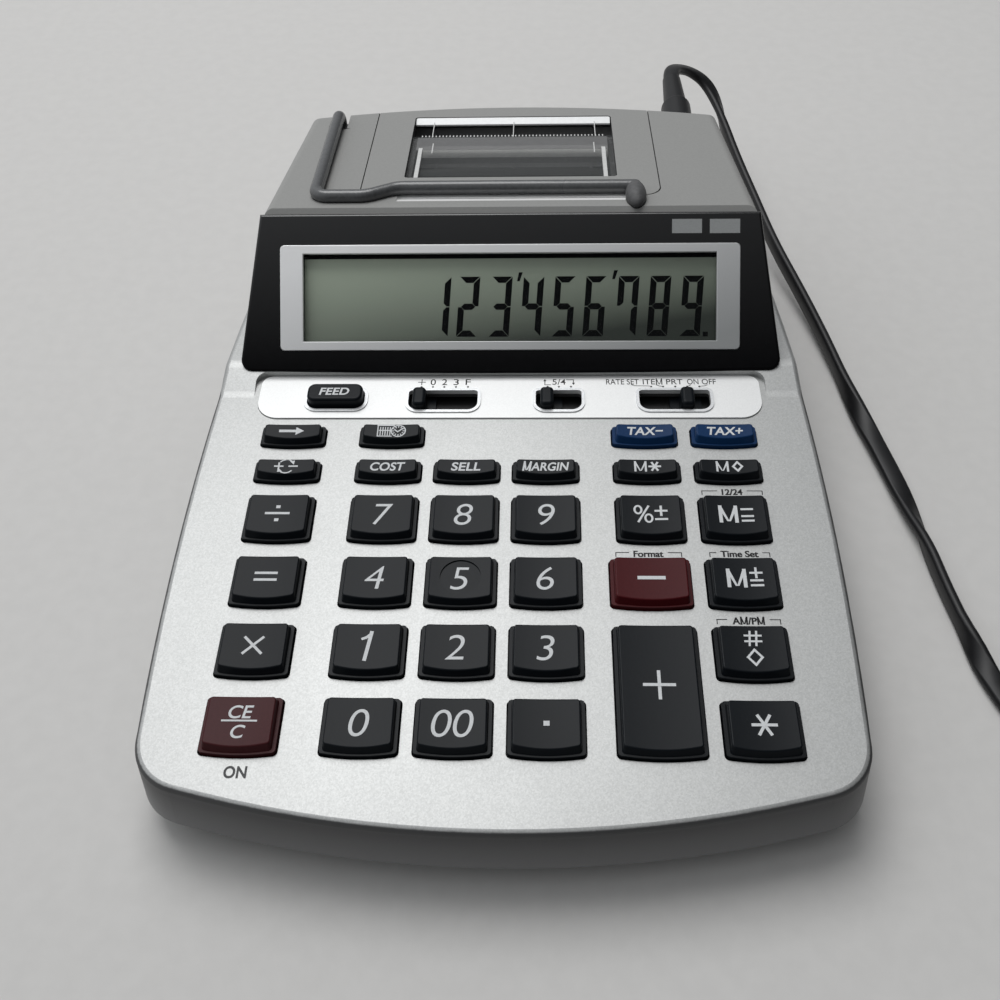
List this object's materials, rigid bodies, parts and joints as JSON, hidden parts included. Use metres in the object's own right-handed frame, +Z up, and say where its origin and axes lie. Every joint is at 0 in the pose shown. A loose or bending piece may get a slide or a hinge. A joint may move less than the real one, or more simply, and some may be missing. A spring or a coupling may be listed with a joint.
{
  "type": "printing calculator",
  "caption": "Desktop printing calculator with a sloping keypad, tilted display, slide switches, a lift-up paper arm over a paper slot, a removable roof cover and a plug-in power lead.",
  "frame": {"origin": "on the table, under the middle of the case", "axes": "+X to the right of the person using it, +Y towards the rear of the case, +Z up"},
  "size_m": [0.2819, 0.2756, 0.06],
  "materials": {
    "silver_shell": "fine metallic paint on plastic, satin",
    "dark_shell": "fine matt texture",
    "foot_rubber": "matt",
    "screw_steel": "plain",
    "pad_rubber": "matt",
    "board_green": "satin solder mask",
    "plate_silver": "satin silver",
    "bezel_black": "polished",
    "clear_window": "clear, polished",
    "lcd_grey": "soft grey-green display glass",
    "housing_grey": "fine matt texture",
    "arm_grey": "satin",
    "mechanism_black": "matt",
    "roller_rubber": "matt",
    "ink_blue": "soft ink foam",
    "key_plastic": "satin charcoal with light printed signs",
    "key_blue": "satin",
    "key_maroon": "satin",
    "key_red": "satin",
    "lead_black": "smooth satin",
    "adapter_black": "fine matt texture"
  },
  "bodies": {
    "case": {"upper_housing": "silver_shell", "lower_housing": "dark_shell", "rubber_feet": "foot_rubber", "case_screws": "screw_steel", "keypad_membrane": "pad_rubber", "circuit_board": "board_green", "switch_plate": "plate_silver", "display_bezel": "bezel_black", "display_window": "clear_window", "lcd_panel": "lcd_grey", "printer_housing": "housing_grey", "printer_frame": "mechanism_black", "dc_plug": "lead_black", "cord": "lead_black", "cord_coil": "lead_black", "wall_adapter": "adapter_black"},
    "battery_door": {"battery_cover": "dark_shell"},
    "roof_cover": {"printer_cover": "housing_grey", "paper_cutter": "clear_window"},
    "arm": {"paper_arm": "arm_grey"},
    "drum": {"type_drum": "mechanism_black"},
    "feed_roll": {"feed_roller": "roller_rubber"},
    "ink_roll": {"ink_roller": "ink_blue"},
    "feed_button": {"key_feed": "key_plastic"},
    "decimal_switch": {"decimal_slider": "arm_grey"},
    "rounding_switch": {"rounding_slider": "arm_grey"},
    "mode_switch": {"mode_slider": "arm_grey"},
    "button_shift": {"key_shift": "key_plastic"},
    "button_clock": {"key_clock": "key_plastic"},
    "button_tax_minus": {"key_tax_minus": "key_blue"},
    "button_tax_plus": {"key_tax_plus": "key_blue"},
    "button_sign_change": {"key_sign_change": "key_plastic"},
    "button_cost": {"key_cost": "key_plastic"},
    "button_sell": {"key_sell": "key_plastic"},
    "button_margin": {"key_margin": "key_plastic"},
    "button_memory_total": {"key_memory_total": "key_plastic"},
    "button_memory_subtotal": {"key_memory_subtotal": "key_plastic"},
    "button_divide": {"key_divide": "key_plastic"},
    "button_7": {"key_7": "key_plastic"},
    "button_8": {"key_8": "key_plastic"},
    "button_9": {"key_9": "key_plastic"},
    "button_percent": {"key_percent": "key_plastic"},
    "button_memory_add": {"key_memory_add": "key_plastic"},
    "button_equals": {"key_equals": "key_plastic"},
    "button_4": {"key_4": "key_plastic"},
    "button_5": {"key_5": "key_plastic"},
    "button_6": {"key_6": "key_plastic"},
    "button_minus": {"key_minus": "key_red"},
    "button_memory_subtract": {"key_memory_subtract": "key_plastic"},
    "button_multiply": {"key_multiply": "key_plastic"},
    "button_1": {"key_1": "key_plastic"},
    "button_2": {"key_2": "key_plastic"},
    "button_3": {"key_3": "key_plastic"},
    "button_non_add": {"key_non_add": "key_plastic"},
    "button_clear": {"key_clear": "key_maroon"},
    "button_0": {"key_0": "key_plastic"},
    "button_00": {"key_00": "key_plastic"},
    "button_point": {"key_point": "key_plastic"},
    "button_total": {"key_total": "key_plastic"},
    "button_plus": {"key_plus": "key_plastic"}
  },
  "joints": [
    {"name": "press_feed", "type": "slide", "parent": "case", "child": "feed_button", "axis": [0, 0.0523, -0.9986], "range_m": [0, 0.0025], "stiffness_N_per_m": 200, "springref_m": -0.001},
    {"name": "press_shift", "type": "slide", "parent": "case", "child": "button_shift", "axis": [0, 0.0523, -0.9986], "range_m": [0, 0.0025], "stiffness_N_per_m": 200, "springref_m": -0.001},
    {"name": "press_clock", "type": "slide", "parent": "case", "child": "button_clock", "axis": [0, 0.0523, -0.9986], "range_m": [0, 0.0025], "stiffness_N_per_m": 200, "springref_m": -0.001},
    {"name": "press_tax_minus", "type": "slide", "parent": "case", "child": "button_tax_minus", "axis": [0, 0.0523, -0.9986], "range_m": [0, 0.0025], "stiffness_N_per_m": 200, "springref_m": -0.001},
    {"name": "press_tax_plus", "type": "slide", "parent": "case", "child": "button_tax_plus", "axis": [0, 0.0523, -0.9986], "range_m": [0, 0.0025], "stiffness_N_per_m": 200, "springref_m": -0.001},
    {"name": "press_sign_change", "type": "slide", "parent": "case", "child": "button_sign_change", "axis": [0, 0.0523, -0.9986], "range_m": [0, 0.0025], "stiffness_N_per_m": 200, "springref_m": -0.001},
    {"name": "press_cost", "type": "slide", "parent": "case", "child": "button_cost", "axis": [0, 0.0523, -0.9986], "range_m": [0, 0.0025], "stiffness_N_per_m": 200, "springref_m": -0.001},
    {"name": "press_sell", "type": "slide", "parent": "case", "child": "button_sell", "axis": [0, 0.0523, -0.9986], "range_m": [0, 0.0025], "stiffness_N_per_m": 200, "springref_m": -0.001},
    {"name": "press_margin", "type": "slide", "parent": "case", "child": "button_margin", "axis": [0, 0.0523, -0.9986], "range_m": [0, 0.0025], "stiffness_N_per_m": 200, "springref_m": -0.001},
    {"name": "press_memory_total", "type": "slide", "parent": "case", "child": "button_memory_total", "axis": [0, 0.0523, -0.9986], "range_m": [0, 0.0025], "stiffness_N_per_m": 200, "springref_m": -0.001},
    {"name": "press_memory_subtotal", "type": "slide", "parent": "case", "child": "button_memory_subtotal", "axis": [0, 0.0523, -0.9986], "range_m": [0, 0.0025], "stiffness_N_per_m": 200, "springref_m": -0.001},
    {"name": "press_divide", "type": "slide", "parent": "case", "child": "button_divide", "axis": [0, 0.0523, -0.9986], "range_m": [0, 0.0025], "stiffness_N_per_m": 200, "springref_m": -0.001},
    {"name": "press_7", "type": "slide", "parent": "case", "child": "button_7", "axis": [0, 0.0523, -0.9986], "range_m": [0, 0.0025], "stiffness_N_per_m": 200, "springref_m": -0.001},
    {"name": "press_8", "type": "slide", "parent": "case", "child": "button_8", "axis": [0, 0.0523, -0.9986], "range_m": [0, 0.0025], "stiffness_N_per_m": 200, "springref_m": -0.001},
    {"name": "press_9", "type": "slide", "parent": "case", "child": "button_9", "axis": [0, 0.0523, -0.9986], "range_m": [0, 0.0025], "stiffness_N_per_m": 200, "springref_m": -0.001},
    {"name": "press_percent", "type": "slide", "parent": "case", "child": "button_percent", "axis": [0, 0.0523, -0.9986], "range_m": [0, 0.0025], "stiffness_N_per_m": 200, "springref_m": -0.001},
    {"name": "press_memory_add", "type": "slide", "parent": "case", "child": "button_memory_add", "axis": [0, 0.0523, -0.9986], "range_m": [0, 0.0025], "stiffness_N_per_m": 200, "springref_m": -0.001},
    {"name": "press_equals", "type": "slide", "parent": "case", "child": "button_equals", "axis": [0, 0.0523, -0.9986], "range_m": [0, 0.0025], "stiffness_N_per_m": 200, "springref_m": -0.001},
    {"name": "press_4", "type": "slide", "parent": "case", "child": "button_4", "axis": [0, 0.0523, -0.9986], "range_m": [0, 0.0025], "stiffness_N_per_m": 200, "springref_m": -0.001},
    {"name": "press_5", "type": "slide", "parent": "case", "child": "button_5", "axis": [0, 0.0523, -0.9986], "range_m": [0, 0.0025], "stiffness_N_per_m": 200, "springref_m": -0.001},
    {"name": "press_6", "type": "slide", "parent": "case", "child": "button_6", "axis": [0, 0.0523, -0.9986], "range_m": [0, 0.0025], "stiffness_N_per_m": 200, "springref_m": -0.001},
    {"name": "press_minus", "type": "slide", "parent": "case", "child": "button_minus", "axis": [0, 0.0523, -0.9986], "range_m": [0, 0.0025], "stiffness_N_per_m": 200, "springref_m": -0.001},
    {"name": "press_memory_subtract", "type": "slide", "parent": "case", "child": "button_memory_subtract", "axis": [0, 0.0523, -0.9986], "range_m": [0, 0.0025], "stiffness_N_per_m": 200, "springref_m": -0.001},
    {"name": "press_multiply", "type": "slide", "parent": "case", "child": "button_multiply", "axis": [0, 0.0523, -0.9986], "range_m": [0, 0.0025], "stiffness_N_per_m": 200, "springref_m": -0.001},
    {"name": "press_1", "type": "slide", "parent": "case", "child": "button_1", "axis": [0, 0.0523, -0.9986], "range_m": [0, 0.0025], "stiffness_N_per_m": 200, "springref_m": -0.001},
    {"name": "press_2", "type": "slide", "parent": "case", "child": "button_2", "axis": [0, 0.0523, -0.9986], "range_m": [0, 0.0025], "stiffness_N_per_m": 200, "springref_m": -0.001},
    {"name": "press_3", "type": "slide", "parent": "case", "child": "button_3", "axis": [0, 0.0523, -0.9986], "range_m": [0, 0.0025], "stiffness_N_per_m": 200, "springref_m": -0.001},
    {"name": "press_non_add", "type": "slide", "parent": "case", "child": "button_non_add", "axis": [0, 0.0523, -0.9986], "range_m": [0, 0.0025], "stiffness_N_per_m": 200, "springref_m": -0.001},
    {"name": "press_clear", "type": "slide", "parent": "case", "child": "button_clear", "axis": [0, 0.0523, -0.9986], "range_m": [0, 0.0025], "stiffness_N_per_m": 200, "springref_m": -0.001},
    {"name": "press_0", "type": "slide", "parent": "case", "child": "button_0", "axis": [0, 0.0523, -0.9986], "range_m": [0, 0.0025], "stiffness_N_per_m": 200, "springref_m": -0.001},
    {"name": "press_00", "type": "slide", "parent": "case", "child": "button_00", "axis": [0, 0.0523, -0.9986], "range_m": [0, 0.0025], "stiffness_N_per_m": 200, "springref_m": -0.001},
    {"name": "press_point", "type": "slide", "parent": "case", "child": "button_point", "axis": [0, 0.0523, -0.9986], "range_m": [0, 0.0025], "stiffness_N_per_m": 200, "springref_m": -0.001},
    {"name": "press_total", "type": "slide", "parent": "case", "child": "button_total", "axis": [0, 0.0523, -0.9986], "range_m": [0, 0.0025], "stiffness_N_per_m": 200, "springref_m": -0.001},
    {"name": "press_plus", "type": "slide", "parent": "case", "child": "button_plus", "axis": [0, 0.0523, -0.9986], "range_m": [0, 0.0025], "stiffness_N_per_m": 200, "springref_m": -0.001},
    {"name": "decimal_slide", "type": "slide", "parent": "case", "child": "decimal_switch", "axis": [1, 0, 0], "range_m": [0, 0.012]},
    {"name": "rounding_slide", "type": "slide", "parent": "case", "child": "rounding_switch", "axis": [1, 0, 0], "range_m": [0, 0.006]},
    {"name": "mode_slide", "type": "slide", "parent": "case", "child": "mode_switch", "axis": [1, 0, 0], "range_m": [-0.00921, 0.00307]},
    {"name": "arm_hinge", "type": "hinge", "parent": "case", "child": "arm", "pos_m": [-0.0511, 0.09904, 0.04616], "axis": [-1, 0, 0], "range_deg": [0, 150]},
    {"name": "cover_slide", "type": "slide", "parent": "case", "child": "roof_cover", "axis": [0, 0.9936, -0.1132], "range_m": [0, 0.06]},
    {"name": "battery_door_lift", "type": "slide", "parent": "case", "child": "battery_door", "axis": [0, 0, -1], "range_m": [0, 0.025]},
    {"name": "drum_spin", "type": "hinge", "parent": "case", "child": "drum", "pos_m": [0, 0.07102, 0.0405], "axis": [1, 0, 0], "continuous": true},
    {"name": "feed_spin", "type": "hinge", "parent": "case", "child": "feed_roll", "pos_m": [0, 0.08599, 0.0343], "axis": [1, 0, 0], "continuous": true},
    {"name": "ink_spin", "type": "hinge", "parent": "case", "child": "ink_roll", "pos_m": [0, 0.06447, 0.04567], "axis": [1, 0, 0], "continuous": true}
  ],
  "couplings": [
    {"joint": "feed_spin", "follows": "drum_spin", "ratio": -1}
  ]
}
